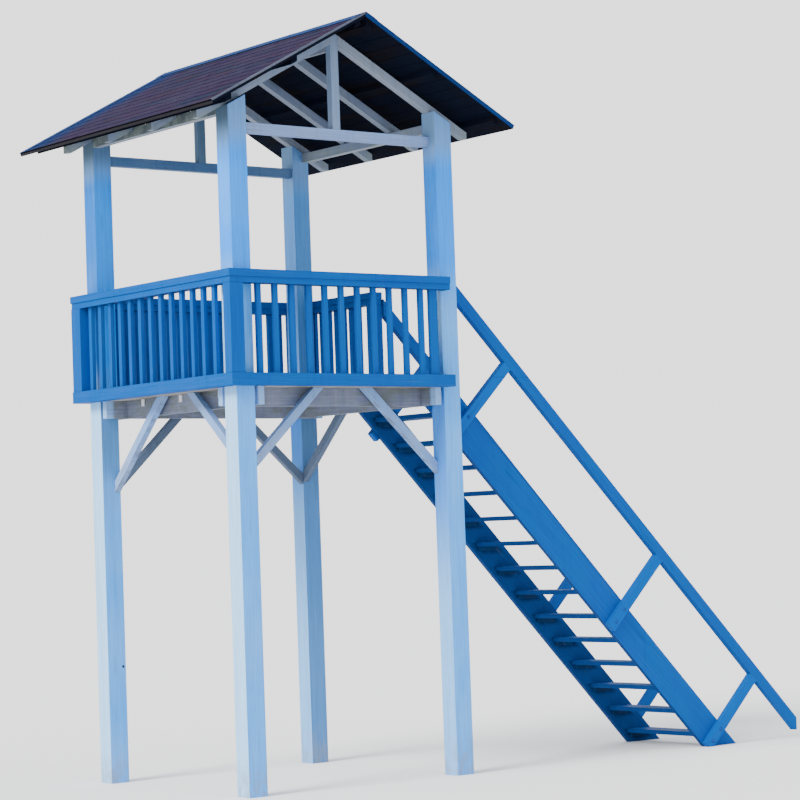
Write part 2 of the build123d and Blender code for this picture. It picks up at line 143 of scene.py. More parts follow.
def rounded(tree, radius):
    """The normal, rounded over the arrises within this distance."""
    return add(tree, "Bevel", {"Radius": radius}, samples=6).outputs[0]


def new_effect(name):
    """An empty node group that takes a place, and that place."""
    tree = bpy.data.node_groups.new(name, "ShaderNodeTree")
    tree.interface.new_socket(name="Place", in_out="INPUT", socket_type="NodeSocketVector")
    return tree, tree.nodes.new("NodeGroupInput").outputs[0]


def give(tree, **masks):
    """The node group, giving out these masks by name."""
    for name in masks:
        tree.interface.new_socket(name=name, in_out="OUTPUT", socket_type="NodeSocketFloat")
    result = tree.nodes.new("NodeGroupOutput")
    for name, mask in masks.items():
        tree.links.new(mask, result.inputs[name])
    return tree


def grain_effect():
    """Sawn softwood with its fibres along Z: fine streaks, drying cracks and knots."""
    tree, place = new_effect("timber_grain")
    streaks = noise(tree, place, (95, 95, 2.2), 5, 0.6)
    figure = noise(tree, place, (16, 16, 0.9), 3)
    fine = noise(tree, place, (130, 130, 0.9), 2)
    cracks = times(tree, rising(tree, fine, 0.655, 0.69), rising(tree, figure, 0.48, 0.6))
    cells = {"Vector": stretched(tree, place, (8.0, 8.0, 1.3)), "Scale": 1.0}
    knots = rising(tree, add(tree, "TexVoronoi", cells).outputs["Distance"], 0.17, 0.08)
    return give(tree, Streaks=streaks, Cracks=cracks, Knots=knots)


def weather_effect():
    """Rain runs down the sides, broad fading, small flaked spots, and sand on the feet."""
    tree, place = new_effect("weathering")
    runs = rising(tree, noise(tree, place, (24, 24, 0.8), 4), 0.5, 0.72)
    fading = rising(tree, noise(tree, place, (1.9, 1.9, 1.1), 5, 0.6), 0.36, 0.66)
    flakes = rising(tree, noise(tree, place, (55, 55, 34), 6, 0.75), 0.66, 0.71)
    height = axes(tree, place)[2]
    splash = rising(tree, noise(tree, place, (14, 14, 9), 6, 0.7), 0.35, 0.62)
    feet = times(tree, rising(tree, height, 0.42, 0.0), splash)
    return give(tree, Runs=runs, Fading=fading, Flakes=flakes, Feet=feet)


def edge_effect():
    """Where the rounded normal leaves the flat one: the arrises, rubbed in broken lengths."""
    tree, place = new_effect("worn_edges")
    normals = {0: rounded(tree, 0.007), 1: add(tree, "NewGeometry").outputs["True Normal"]}
    along = add(tree, "VectorMath", normals, operation="DOT_PRODUCT").outputs["Value"]
    arris = rising(tree, less(tree, along), 0.01, 0.2)
    broken = rising(tree, noise(tree, place, (13, 13, 13), 6, 0.7), 0.52, 0.66)
    return give(tree, Rubbed=times(tree, arris, broken))


effects = {"grain": grain_effect(), "weather": weather_effect(), "edge": edge_effect()}


def masks_of(tree, effect, place):
    """The masks that an effect gives at this place, by name."""
    group = add(tree, "Group", node_tree=effects[effect])
    tree.links.new(place, group.inputs["Place"])
    return group.outputs


def new_finish(name, gloss):
    """A material with this gloss, its nodes, and the place on the object."""
    material = bpy.data.materials.new(name)
    material.use_nodes = True
    tree = material.node_tree
    tree.nodes["Principled BSDF"].inputs["Specular IOR Level"].default_value = gloss
    return material, tree, add(tree, "TexCoord").outputs["Object"]


def coat(tree, colour, roughness, bump):
    """Joins colour, roughness and relief to the shader. The roughness is a mask, and its
    values where that mask is 0 and 1."""
    shader = tree.nodes["Principled BSDF"]
    mask, smooth, rough = roughness
    matt = add(tree, "MapRange", {"Value": mask, "To Min": smooth, "To Max": rough})
    tree.links.new(colour, shader.inputs["Base Color"])
    tree.links.new(matt.outputs[0], shader.inputs["Roughness"])
    tree.links.new(add(tree, "Bump", bump).outputs[0], shader.inputs["Normal"])


def painted_timber(name, paint, faded, wood, turn=(0, 0, 0), upright=None, wear=1.0,
                   rough=0.55, shade=None, gloss=0.12, gable=False):
    """Brushed paint on sawn timber. turn brings the timber's length to Z, and under a gable it
    is mirrored for the right-hand slope. The two upright heights are those between which the
    timber stands instead, as a railing's balusters do."""
    material, tree, place = new_finish(name, gloss)
    along = add(tree, "Mapping", {"Vector": place, "Rotation": turn}).outputs[0]
    if gable:
        mirrored = {"Vector": place, "Rotation": [-angle for angle in turn]}
        right = reckon(tree, "GREATER_THAN", axes(tree, place)[0], 0.0)
        along = instead(tree, right, along, add(tree, "Mapping", mirrored).outputs[0])
    if upright:
        height = axes(tree, place)[2]
        stands = times(tree, reckon(tree, "GREATER_THAN", height, upright[0]),
                       reckon(tree, "LESS_THAN", height, upright[1]))
        along = instead(tree, stands, along, place)
    grain = masks_of(tree, "grain", along)
    weather = masks_of(tree, "weather", place)
    edge = masks_of(tree, "edge", place)
    colour = stain(tree, weather["Fading"], paint, faded)
    if shade:
        colour = shade(tree, place, colour)
    streaked = rising(tree, grain["Streaks"], 0.3, 0.7)
    colour = stain(tree, streaked, glaze(tree, colour, (0.8, 0.82, 0.86)), colour)
    for mask, share, tint in ((weather["Runs"], 0.45, (0.74, 0.76, 0.76)),
                              (grain["Knots"], 0.5, (0.8, 0.74, 0.66))):
        colour = stain(tree, times(tree, mask, share * wear), colour, glaze(tree, colour, tint))
    bare = times(tree, edge["Rubbed"], 0.8 * wear)
    for mask, share in ((weather["Flakes"], 0.55), (grain["Cracks"], 0.7)):
        bare = most(tree, bare, times(tree, mask, share * wear))
    relief = work_out(tree, "MULTIPLY", grain["Streaks"], 0.25)
    for sunk in (grain["Cracks"], bare):
        relief = work_out(tree, "SUBTRACT", relief, sunk)
    coat(tree, stain(tree, bare, colour, wood), (weather["Fading"], rough, rough + 0.18),
         {"Height": relief, "Normal": rounded(tree, 0.005), "Strength": 0.5, "Distance": 0.0015})
    return material


def dress(material, *names):
    """Gives the material to these timbers of the frame."""
    for name in names:
        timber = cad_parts[name]
        if not timber.material_slots:
            timber.data.materials.append(material)
        for slot in timber.material_slots:
            slot.material = material


POST_BLUE, POST_FADED = (0.07, 0.37, 0.93), (0.12, 0.41, 0.93)
POST_WOOD = (0.26, 0.3, 0.38)
# Painted shade: at the far corner, and under the floor at the back.
FAR_CORNER_SHADE, UNDER_FLOOR_SHADE = (0.08, 0.2, 0.4), (0.07, 0.14, 0.22)
# Painted sunlight on the side to the sun, and painted shade on that side of the right-hand posts.
PAINTED_SUNLIGHT, SUN_SIDE_SHADE = (0.36, 0.66, 0.93), (0.03, 0.2, 0.69)
# Azure, partly the paint's own blue and partly a painted reflection of the sky; the back left
# post's sunny side takes a darker azure, painted shade.
AZURE, AZURE_SUNNY, AZURE_BACK_LEFT_SHADE = (0.0, 0.27, 0.93), (0.0, 0.25, 0.9), (0.0, 0.14, 0.52)
# Painted shade towards the tops of the posts under the roof, and the eave's painted shadow.
POST_TOP_SHADE, EAVE_SHADOW_ON_POSTS = (0.15, 0.27, 0.52), (0.045, 0.075, 0.1)
SAND = (0.27, 0.28, 0.33)


def post_shade(tree, place, colour):
    """Painted sunlight: paler on the side to the sun. Azure above the railing, partly the paint's
    own blue and partly a painted reflection of the sky. Painted shade at the far corner, under
    the floor at the back, on the sunny side of the right-hand posts and towards the tops, and
    the eave's painted shadow at the tops, on the sunny faces and the left-hand posts. Sandy at
    the feet. The floor's underside is 3.3 m up, the railing's cap 4.2 m and the tops of the
    posts 5.5 m."""
    to_sun = rising(tree, facing(tree)[0], -0.3, -0.9)
    x, y, height = axes(tree, place)
    right, back = rising(tree, x, -0.5, 0.5), rising(tree, y, -0.5, 0.5)
    left, front = less(tree, right), less(tree, back)
    far = times(tree, right, back)
    # Painted shade on the far corner post below its top, less on the side to the sun.
    far_corner_shade = times(tree, far, rising(tree, height, 5.6, 5.1, 0.7),
                 less(tree, times(tree, to_sun, 0.8)))
    colour = stain(tree, far_corner_shade, colour, FAR_CORNER_SHADE)
    # Painted shade on the back posts under the floor, less on the side to the sun.
    under = times(tree, back, rising(tree, height, 2.2, 3.0), rising(tree, height, 3.4, 3.3))
    under_floor_shade = times(tree, under, less(tree, times(tree, to_sun, 0.6), 0.6))
    colour = stain(tree, under_floor_shade, colour, UNDER_FLOOR_SHADE)
    # Painted shade on the sunny side of the right-hand posts, up to the railing and most under the
    # floor.
    sun_side_shade_mask = times(tree, rising(tree, height, 1.4, 2.7, 0.6), front)
    sun_side_shade_mask = most(tree, sun_side_shade_mask, times(tree, under, 0.65))
    sun_side_shade_mask = times(tree, reckon(tree, "ADD", sun_side_shade_mask, 0.25), right,
                      rising(tree, height, 3.9, 3.4))
    # Painted sunlight: the side to the sun is paler, unless painted shade lies on it.
    sunny = times(tree, to_sun, 0.85)
    colour = stain(tree, times(tree, sunny, less(tree, sun_side_shade_mask)), colour, PAINTED_SUNLIGHT)
    colour = stain(tree, times(tree, sunny, sun_side_shade_mask), colour, SUN_SIDE_SHADE)
    patch = rising(tree, noise(tree, place, (1.3, 1.3, 0.9), 3), 0.3, 0.55, 0.15)
    start = {"Value": y, "From Min": -1.0, "To Min": 3.95, "To Max": 3.2}
    climb = work_out(tree, "SUBTRACT", height, add(tree, "MapRange", start).outputs[0])
    held = times(tree, far, less(tree, times(tree, to_sun, 0.4), 0.85))
    azure = times(tree, rising(tree, climb, 0.0, 0.5), reckon(tree, "ADD", patch, 0.86),
                  rising(tree, height, 5.5, 5.15, 0.98), less(tree, held))
    # On the back left post the sunny side's azure is darker: painted shade.
    lit = stain(tree, times(tree, back, left), AZURE_SUNNY, AZURE_BACK_LEFT_SHADE)
    colour = stain(tree, azure, colour, stain(tree, to_sun, AZURE, lit))
    # Painted shade towards the tops, under the roof.
    colour = stain(tree, rising(tree, height, 5.15, 5.45, 0.7), colour, POST_TOP_SHADE)
    # The eave's painted shadow at the tops: on the sunny faces, and on the left-hand posts.
    eave_shadow_mask = times(tree, to_sun, reckon(tree, "ADD", times(tree, left, 0.75), 0.25))
    eave_shadow_mask = most(tree, eave_shadow_mask, times(tree, left, back, 0.75))
    eave_shadow_mask = times(tree, eave_shadow_mask, rising(tree, height, 5.28, 5.5, 0.85))
    colour = stain(tree, eave_shadow_mask, colour, EAVE_SHADOW_ON_POSTS)
    feet = masks_of(tree, "weather", place)["Feet"]
    return stain(tree, times(tree, feet, 0.6), colour, SAND)


post_paint = painted_timber("post_paint", POST_BLUE, POST_FADED, POST_WOOD, wear=0.6,
                            shade=post_shade)
dress(post_paint, "post_front_left", "post_front_right", "post_back_left", "post_back_right")


# ---- Platform beams, packers and joists ----------------------------------------
# Two beams run each way inside the posts, halved where they cross, with packers between them
# and the posts. Their grey under the floor is painted shade, with olive mildew, and the pale
# beam and joist ends are painted light, a lit copy of the paint.
BARE_WOOD = (0.16, 0.155, 0.16)
# A grey copy of the paint as it looks under the floor: painted shade.
BEAM_SHADED, BEAM_SHADED_FADED = (0.152, 0.175, 0.266), (0.22, 0.243, 0.319)
# Olive mildew, and the pale ends, which are painted light: a lit copy of the paint.
BEAM_MILDEW, BEAM_END_LIT = (0.13, 0.15, 0.11), (0.24, 0.42, 0.72)
JOIST_END_LIT = (0.7, 0.72, 0.76)
ALONG_X = (0, radians(-90), 0)
ALONG_Y = (radians(90), 0, 0)


def from_middle(tree, place):
    """The distances from the tower's middle along X and Y, and the height."""
    return axes(tree, add(tree, "VectorMath", {0: place}, operation="ABSOLUTE").outputs[0])


def beam_shade(tree, place, colour):
    """Mildew in long patches on the sheltered lengths. Painted light on the ends that stand out
    past the beams that they cross and on the joist ends: a paler, lit copy of the paint."""
    mildew = rising(tree, noise(tree, place, (2.6, 2.6, 7), 5, 0.65), 0.42, 0.66)
    colour = stain(tree, times(tree, mildew, 0.7), colour, BEAM_MILDEW)
    x, y, _ = from_middle(tree, place)
    out = most(tree, rising(tree, x, 1.06, 1.1), rising(tree, y, 1.06, 1.1))
    # Painted light: the ends that stand out are a paler, lit copy.
    colour = stain(tree, out, colour, BEAM_END_LIT)
    # Painted light: the joist ends are pale, lit.
    joist_end = times(tree, rising(tree, x, 0.944, 0.947), rising(tree, y, 0.72, 0.7))
    return stain(tree, joist_end, colour, JOIST_END_LIT)


beams = {"beam_paint_x": (ALONG_X, "beam_front", "beam_back", "floor_joists"),
         "beam_paint_y": (ALONG_Y, "beam_left", "beam_right"),
         "packer_paint": ((0, 0, 0), "beam_packers")}
for name, (turn, *timbers) in beams.items():
    beam_paint = painted_timber(name, BEAM_SHADED, BEAM_SHADED_FADED, BARE_WOOD, turn, rough=0.7,
                                shade=beam_shade)
    dress(beam_paint, *timbers)


# ---- Floor boards and their nails ----------------------------------------------
# Fifteen bare softwood boards run front to back over the joists, weathered grey, each its own
# tone. Two flat-headed nails hold a board at every beam and joist, and have begun to rust.
BOARDS, BOARD_STEP = 15, 0.153733
HALF_FLOOR, HALF_BOARD = 1.153, 0.07387
# A hair over 1 / BOARD_STEP, so that a board's left side takes the board's own number.
BOARDS_PER_METRE = 6.505
FLOOR_GREY, FLOOR_FADED = (0.27, 0.26, 0.25), (0.36, 0.36, 0.35)
FLOOR_WOOD = (0.09, 0.08, 0.07)


def board_shade(tree, place, colour):
    """A tone for each board, picked by its number across the floor."""
    across = work_out(tree, "ADD", axes(tree, place)[0], HALF_FLOOR)
    number = work_out(tree, "FLOOR", work_out(tree, "MULTIPLY", across, BOARDS_PER_METRE))
    tone = add(tree, "TexWhiteNoise", {"W": number}, noise_dimensions="1D").outputs["Value"]
    return stain(tree, tone, glaze(tree, colour, (0.6, 0.57, 0.54)), colour)


dress(painted_timber("weathered_boards", FLOOR_GREY, FLOOR_FADED, FLOOR_WOOD, ALONG_Y,
                     rough=0.75, shade=board_shade), "floor_boards")


def closed_solids(rings):
    """Solids from an array of rings: for each solid a stack of closed rings of corners, with
    quads from ring to ring and a flat cap on both ends. Where the sum of middle times area
    normal over the quads is below 0, the solid is inside out and its rings are turned round."""
    count, stack, corners, _ = rings.shape
    local = rings - rings.mean(axis=(1, 2), keepdims=True)
    beside = np.roll(local, -1, axis=2)
    normal = np.cross(beside[:, 1:] - local[:, :-1], local[:, 1:] - beside[:, :-1])
    middle = local[:, :-1] + local[:, 1:] + beside[:, :-1] + beside[:, 1:]
    inward = (normal * middle).sum(axis=(1, 2, 3)) < 0
    rings = np.where(inward[:, None, None, None], rings[:, :, ::-1], rings)
    index = np.arange(count * stack * corners).reshape(count, stack, corners)
    after = np.roll(index, -1, axis=2)
    quads = np.stack((index[:, :-1], after[:, :-1], after[:, 1:], index[:, 1:]), axis=-1)
    faces = quads.reshape(-1, 4).tolist()
    return rings.reshape(-1, 3), faces + index[:, 0, ::-1].tolist() + index[:, -1].tolist()


def new_object(name, data):
    """An object for this mesh, lamp or camera, put into the scene."""
    made = bpy.data.objects.new(name, data)
    bpy.context.scene.collection.objects.link(made)
    return made


def new_piece(name, rings, material, smooth=False):
    """A piece of closed solids that belongs to the standing tower."""
    points, faces = closed_solids(rings)
    mesh = bpy.data.meshes.new(name)
    mesh.from_pydata(points.tolist(), [], faces)
    mesh.polygons.foreach_set("use_smooth", [smooth] * len(mesh.polygons))
    mesh.materials.append(material)
    piece = new_object(name, mesh)
    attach(piece, "root")
    return piece


def heads(places, outward, profile, sides=10):
    """Round heads: each place plus radius times a circle square to the outward line, plus
    height along that line, for every radius and height of the profile."""
    places = np.asarray(places, float)
    outward = np.broadcast_to(np.asarray(outward, float), places.shape)
    outward = outward / np.linalg.norm(outward, axis=1, keepdims=True)
    helper = np.where(np.abs(outward[:, 2:]) > 0.9, [[1.0, 0, 0]], [[0, 0, 1.0]])
    first = np.cross(outward, helper)
    first /= np.linalg.norm(first, axis=1, keepdims=True)
    second = np.cross(outward, first)
    angle = np.arange(sides) * 2 * pi / sides
    circle = np.cos(angle)[:, None] * first[:, None] + np.sin(angle)[:, None] * second[:, None]
    radius, height = np.asarray(profile, float).T
    rings = places[:, None, None] + radius[None, :, None, None] * circle[:, None]
    return rings + height[None, :, None, None] * outward[:, None, None]


def metal(name, colour, rust, amount, rough=0.45):
    """Painted or zinc-coated steel with rust breaking through in spots."""
    material, tree, place = new_finish(name, 0.06)
    spots = rising(tree, noise(tree, place, (60, 60, 60), 6, 0.7), 0.5, 0.62, amount)
    fading = masks_of(tree, "weather", place)["Fading"]
    base = stain(tree, fading, colour, glaze(tree, colour, (0.72, 0.76, 0.8)))
    coat(tree, stain(tree, spots, base, rust), (spots, rough, 0.9),
         {"Height": spots, "Strength": 0.4, "Distance": 0.001})
    return material


# Nail and screw heads are profiles of radius and height over the timber.
NAIL = [(0.005, -0.001), (0.005, 0.0008), (0.0034, 0.0016), (0.0012, 0.0019)]
nail_steel = metal("nail_steel", (0.3, 0.29, 0.29), (0.17, 0.075, 0.04), 0.9)
board_low, board_high = (np.array(corner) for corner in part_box("floor_boards"))
board_middles = board_low[0] + HALF_BOARD + BOARD_STEP * np.arange(BOARDS)
nail_x = (board_middles[:, None] + np.array((-0.042, 0.042))).ravel()
beam_and_joist_y = np.array((-0.912, -0.6, 0.0, 0.6, 0.912))
grid = np.stack(np.meshgrid(nail_x, beam_and_joist_y), axis=-1).reshape(-1, 2)
floor_nails = np.column_stack((grid, np.full(len(grid), board_high[2])))
new_piece("floor_nails", heads(floor_nails, (0, 0, 1), NAIL, 8), nail_steel, True)


# ---- Knee braces ---------------------------------------------------------------
# Seven short timbers lean from the posts to the floor, cut plumb at the foot and level at the
# head. They have a thin coat of grey-blue paint, and are held by painted screws. The three
# towards the back take a darker copy of the paint: painted shade.
# Lit and shaded copies of the brace paint; the shaded one, for the braces at the back, is painted
# shade.
BRACE_LIT = ((0.182, 0.319, 0.608), (0.243, 0.35, 0.562))
BRACE_SHADED = ((0.0988, 0.137, 0.205), (0.0988, 0.137, 0.205))
BRACE_SHADE_GREY = (0.122, 0.152, 0.22)
LEAN = radians(46.7)
TO_RIGHT, TO_LEFT, TO_BACK, TO_FRONT = (0, -LEAN, 0), (0, LEAN, 0), (LEAN, 0, 0), (-LEAN, 0, 0)
braces = {"brace_paint_right": (TO_RIGHT, BRACE_LIT, "front_left"),
          "brace_paint_left": (TO_LEFT, BRACE_LIT, "front_right"),
          "brace_paint_back": (TO_BACK, BRACE_LIT, "left_front"),
          "brace_paint_front": (TO_FRONT, BRACE_LIT, "left_back"),
          "brace_paint_back_front": (TO_FRONT, BRACE_SHADED, "right_back"),
          "brace_paint_back_right": (TO_RIGHT, BRACE_SHADED, "back_left"),
          "brace_paint_back_left": (TO_LEFT, BRACE_SHADED, "back_right")}


def brace_shade(tree, place, colour):
    """Painted shade on the faces under the floor that turn from the sun and on those facing down:
    a grey laid on in broken patches of mildew.
    """
    to_right, _, up = facing(tree)
    # Painted shade: the faces turned from the sun and those facing down.
    shaded = most(tree, rising(tree, to_right, 0.3, 0.7), rising(tree, up, -0.4, -0.8))
    grey = stain(tree, shaded, colour, BRACE_SHADE_GREY)
    mildew = rising(tree, noise(tree, place, (9, 9, 9), 5, 0.65), 0.4, 0.65, 0.85)
    return stain(tree, mildew, colour, grey)


for name, (turn, (paint, faded), brace) in braces.items():
    brace_paint = painted_timber(name, paint, faded, BARE_WOOD, turn, rough=0.65,
                                 shade=brace_shade)
    dress(brace_paint, f"knee_brace_{brace}")

POST_INNER, FLOOR_UNDER = 0.975, 3.3
BRACE_FACE, HALF_BRACE = 1.03, 0.035
FROM_END, FURTHER_IN, ASIDE = 0.062, 0.1, 0.016


def brace_screws(rise, run, other_hand, quarter_turns):
    """Two screws near each end of a brace's middle line, on its outer face: the front left
    brace's places, mirrored for the other hand and turned by quarters to its own post."""
    length = hypot(rise, run)
    foot = np.array((-POST_INNER, FLOOR_UNDER - rise + HALF_BRACE * length / run))
    head = np.array((-POST_INNER + run - HALF_BRACE * length / rise, FLOOR_UNDER))
    line = (head - foot) / np.linalg.norm(head - foot)
    across = np.array((-line[1], line[0])) * ASIDE
    ends = np.array((foot + FROM_END * line, foot + FURTHER_IN * line,
                     head - FROM_END * line, head - FURTHER_IN * line))
    ends += across * np.array((1, -1, 1, -1))[:, None]
    x = -ends[:, 0] if other_hand else ends[:, 0]
    turn = quarter_turns * pi / 2
    y = np.full(4, -BRACE_FACE)
    places = np.column_stack((x * cos(turn) - y * sin(turn), x * sin(turn) + y * cos(turn),
                              ends[:, 1]))
    return places, np.tile((sin(turn), -cos(turn), 0), (4, 1))


screws = [brace_screws(*values) for values in (
    (0.73, 0.775, False, 0), (0.73, 0.775, True, 0), (0.65, 0.755, True, -1),
    (0.785, 0.83, False, -1), (0.768, 0.815, True, 2), (0.75, 0.825, False, 2),
    (0.73, 0.79, True, 1))]
SCREW = [(0.0065, -0.001), (0.0065, 0.0006), (0.0045, 0.0018), (0.0016, 0.0022)]
screw_white = metal("screw_white", (0.182, 0.319, 0.562), (0.167, 0.0912, 0.061), 0.5)
screw_places, screw_outward = (np.vstack(parts) for parts in zip(*screws))
screw_rings = heads(screw_places, screw_outward, SCREW)
new_piece("brace_screws", screw_rings, screw_white, True)

OLD_NAIL = [(0.011, -0.001), (0.011, 0.003), (0.007, 0.006), (0.002, 0.007)]
rusty_nail = metal("rusty_nail", (0.038, 0.023, 0.023), (0.015, 0.0076, 0.0061), 0.9, 0.8)
nail_rings = heads([(-1.002, POST_INNER, 1.0)], (0, -1, 0), OLD_NAIL)
new_piece("old_post_nail", nail_rings, rusty_nail, True)


# ---- Railing -------------------------------------------------------------------
# Framed panels stand on the floor's edge, outside the tower posts: bottom rail, sub-rail and
# square balusters between them, and corner posts. All have thick azure gloss that has chalked.
BLUE, BLUE_FADED = (0.0, 0.076, 0.35), (0.0, 0.0874, 0.35)
BLUE_WOOD = (0.076, 0.122, 0.198)
# The flatter blue on the side to the sun is painted sunlight.
BLUE_SUNNY, BLUE_JOINT = (0.0, 0.0798, 0.312), (0, 0.02, 0.09)
BALUSTERS = (3.4, 4.125)


def rail_shade(tree, place, colour):
    """Painted sunlight: a flatter blue on the side to the sun. A dark line at each joint of a
    baluster.
    """
    height = axes(tree, place)[2]
    # Painted sunlight: a flatter blue on the side to the sun.
    colour = stain(tree, rising(tree, facing(tree)[0], -0.4, -0.9, 0.8), colour, BLUE_SUNNY)
    joints = [work_out(tree, "COMPARE", height, level, 0.0012) for level in BALUSTERS]
    return stain(tree, times(tree, most(tree, *joints), 0.7), colour, BLUE_JOINT)


def blue_timber(name, turn, shade, wear=0.7, upright=None, paint=BLUE, faded=BLUE_FADED):
    """The railing's and the stair's azure paint."""
    return painted_timber(name, paint, faded, BLUE_WOOD, turn, upright, wear, 0.5, shade, 0.05)


rails = {"rail_paint_x": (ALONG_X, BALUSTERS, "railing_front", "railing_back"),
         "rail_paint_y": (ALONG_Y, BALUSTERS, "railing_left", "railing_right"),
         "corner_post_paint": ((0, 0, 0), None, "railing_post_front_left",
                               "railing_post_back_left", "railing_post_back_right",
                               "railing_post_stair"),
         "cap_paint_x": (ALONG_X, None, "handrail_cap_front", "handrail_cap_back"),
         "cap_paint_y": (ALONG_Y, None, "handrail_cap_left", "handrail_cap_right")}
for name, (turn, upright, *timbers) in rails.items():
    dress(blue_timber(name, turn, rail_shade, upright=upright), *timbers)


# ---- Handrail cap screws -------------------------------------------------------
# Each cap board is held down to the sub-rail by pairs of countersunk screws at even steps
# along it. They are painted over with the board.
screw_blue = metal("screw_blue", (0.0, 0.076, 0.334), (0.122, 0.068, 0.053), 0.35)
CAP_SCREW_STEP, CAP_END, HALF_PAIR = 0.46, 0.07, 0.024


def along_cap(node):
    """Screws in pairs at even steps along the longer side of a cap's top."""
    low, high = (np.array(corner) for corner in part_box(node))
    middle, half = (low + high) / 2, (high - low) / 2
    longer = int(half[1] > half[0])
    count = int(2 * half[longer] / CAP_SCREW_STEP) + 1
    steps = np.linspace(-1, 1, count) * (half[longer] - CAP_END)
    places = np.tile((middle[0], middle[1], high[2]), (2 * count, 1))
    places[:, longer] += np.tile(steps, 2)
    places[:, 1 - longer] += np.repeat((-HALF_PAIR, HALF_PAIR), count)
    return places


caps = [along_cap(f"handrail_cap_{side}") for side in ("front", "left", "back", "right")]
new_piece("cap_screws", heads(np.vstack(caps), (0, 0, 1), SCREW), screw_blue, True)


# ---- Stair ---------------------------------------------------------------------
# Two planks on edge, set into the platform at the head and standing on the ground at the foot,
# carry fourteen treads on cleats. The outer faces are bright blue. Underneath is painted shade:
# deep blue on the inner side of the stringers, with the treads' painted shadows in patches
# below each tread, darker on the faces turned down, and very dark blue on the cleats.
STAIR_SLOPE = radians(45.4)
DOWN_STAIR = (0, -(pi / 2 + STAIR_SLOPE), 0)
TOWER_FACE, STRINGER_HEAD, STRINGER_DEPTH = 1.15, 3.332, 0.285
TREADS, RISE, TREAD_THICK = 14, 0.228571, 0.038
FLOOR_TOP, LOWEST_TREAD = 3.33, 0.13
SPLAY = radians(1.25)
# How far along X the middle of the treads' line would meet the ground.
TREAD_SHADOW_FOOT = 4.236
# The patches repeat at the treads' rise, to the nearest tenth of a millimetre.
TREAD_SHADOW_PITCH = 0.2286
# Painted shade: deep blue on the stringers' inner side, the treads' painted shadows on it, and a
# shade for the faces turned down.
INNER_SHADE_BLUE, TREAD_SHADOW_BLUE, DOWNWARD_SHADE = (0.0, 0.052, 0.21), (0.0, 0.014, 0.055), (0.0, 0.03, 0.12)


def stair_edge(x):
    """Height of the stringers' upper edge at a place along X."""
    return STRINGER_HEAD - (x - TOWER_FACE) * tan(STAIR_SLOPE)


def stair_shade(tree, place, colour):
    """Painted shade: deep blue on the inner side of the stringers, darker in broken patches under
    every tread where the treads' shadows fall, and darker on the faces turned down."""
    _, to_back, up = facing(tree)
    x, y, height = axes(tree, place)
    inner = times(tree, rising(tree, to_back, -0.5, -0.9), reckon(tree, "GREATER_THAN", y, -0.9))
    over_lowest = work_out(tree, "SUBTRACT", height, LOWEST_TREAD)
    step = work_out(tree, "FLOORED_MODULO", over_lowest, TREAD_SHADOW_PITCH)
    line = work_out(tree, "MULTIPLY_ADD", height, 1 / tan(STAIR_SLOPE), x)
    offset = work_out(tree, "ABSOLUTE", work_out(tree, "SUBTRACT", line, TREAD_SHADOW_FOOT))
    broken = rising(tree, noise(tree, place, (13, 13, 13), 4), 0.28, 0.5)
    # The treads' painted shadows: a band under every tread, broken in patches.
    tread_shadows = times(tree, rising(tree, step, 0.1, 0.16), rising(tree, offset, 0.17, 0.09), broken)
    inner_shade = stain(tree, times(tree, tread_shadows, 0.9), INNER_SHADE_BLUE, TREAD_SHADOW_BLUE)
    # Painted shade on the faces turned down.
    colour = stain(tree, rising(tree, up, -0.3, -0.6, 0.8), colour, DOWNWARD_SHADE)
    # Painted shade on the inner side of the stringers.
    return stain(tree, inner, colour, inner_shade)


dress(blue_timber("stringer_paint", DOWN_STAIR, stair_shade),
      "stair_stringer_near", "stair_stringer_far")

TREAD_BLUE, TREAD_FADED = (0.0, 0.068, 0.304), (0.0, 0.0912, 0.319)
# Painted shade on the treads' back edges and undersides.
TREAD_BACK_SHADE, TREAD_UNDER_SHADE = (0.0, 0.046, 0.19), (0.0, 0.042, 0.152)
TRODDEN = (0.106, 0.129, 0.16)


def tread_shade(tree, place, colour):
    """Trodden bare in the middle of the top, with painted shade on the back edges and underneath.
    """
    to_right, _, up = facing(tree)
    across = axes(tree, place)[1]
    # Painted shade on the back edges.
    colour = stain(tree, rising(tree, to_right, -0.4, -0.9), colour, TREAD_BACK_SHADE)
    worn = rising(tree, noise(tree, place, (30, 7, 30), 5, 0.7), 0.36, 0.6)
    rubbed = times(tree, rising(tree, across, -0.85, -0.6), rising(tree, across, -0.08, -0.32),
                   worn, rising(tree, up, 0.5, 0.9, 0.8))
    colour = stain(tree, rubbed, colour, TRODDEN)
    # Painted shade underneath.
    return stain(tree, rising(tree, up, -0.4, -0.9), colour, TREAD_UNDER_SHADE)


dress(blue_timber("tread_paint", ALONG_Y, tread_shade, 0.9, None, TREAD_BLUE, TREAD_FADED),
      "stair_treads")
# The cleats' very dark blue is painted shade under the treads.
dress(painted_timber("cleat_paint", (0.0, 0.023, 0.0836), (0.0, 0.038, 0.129), BLUE_WOOD,
                     DOWN_STAIR, rough=0.6), "stair_cleats")

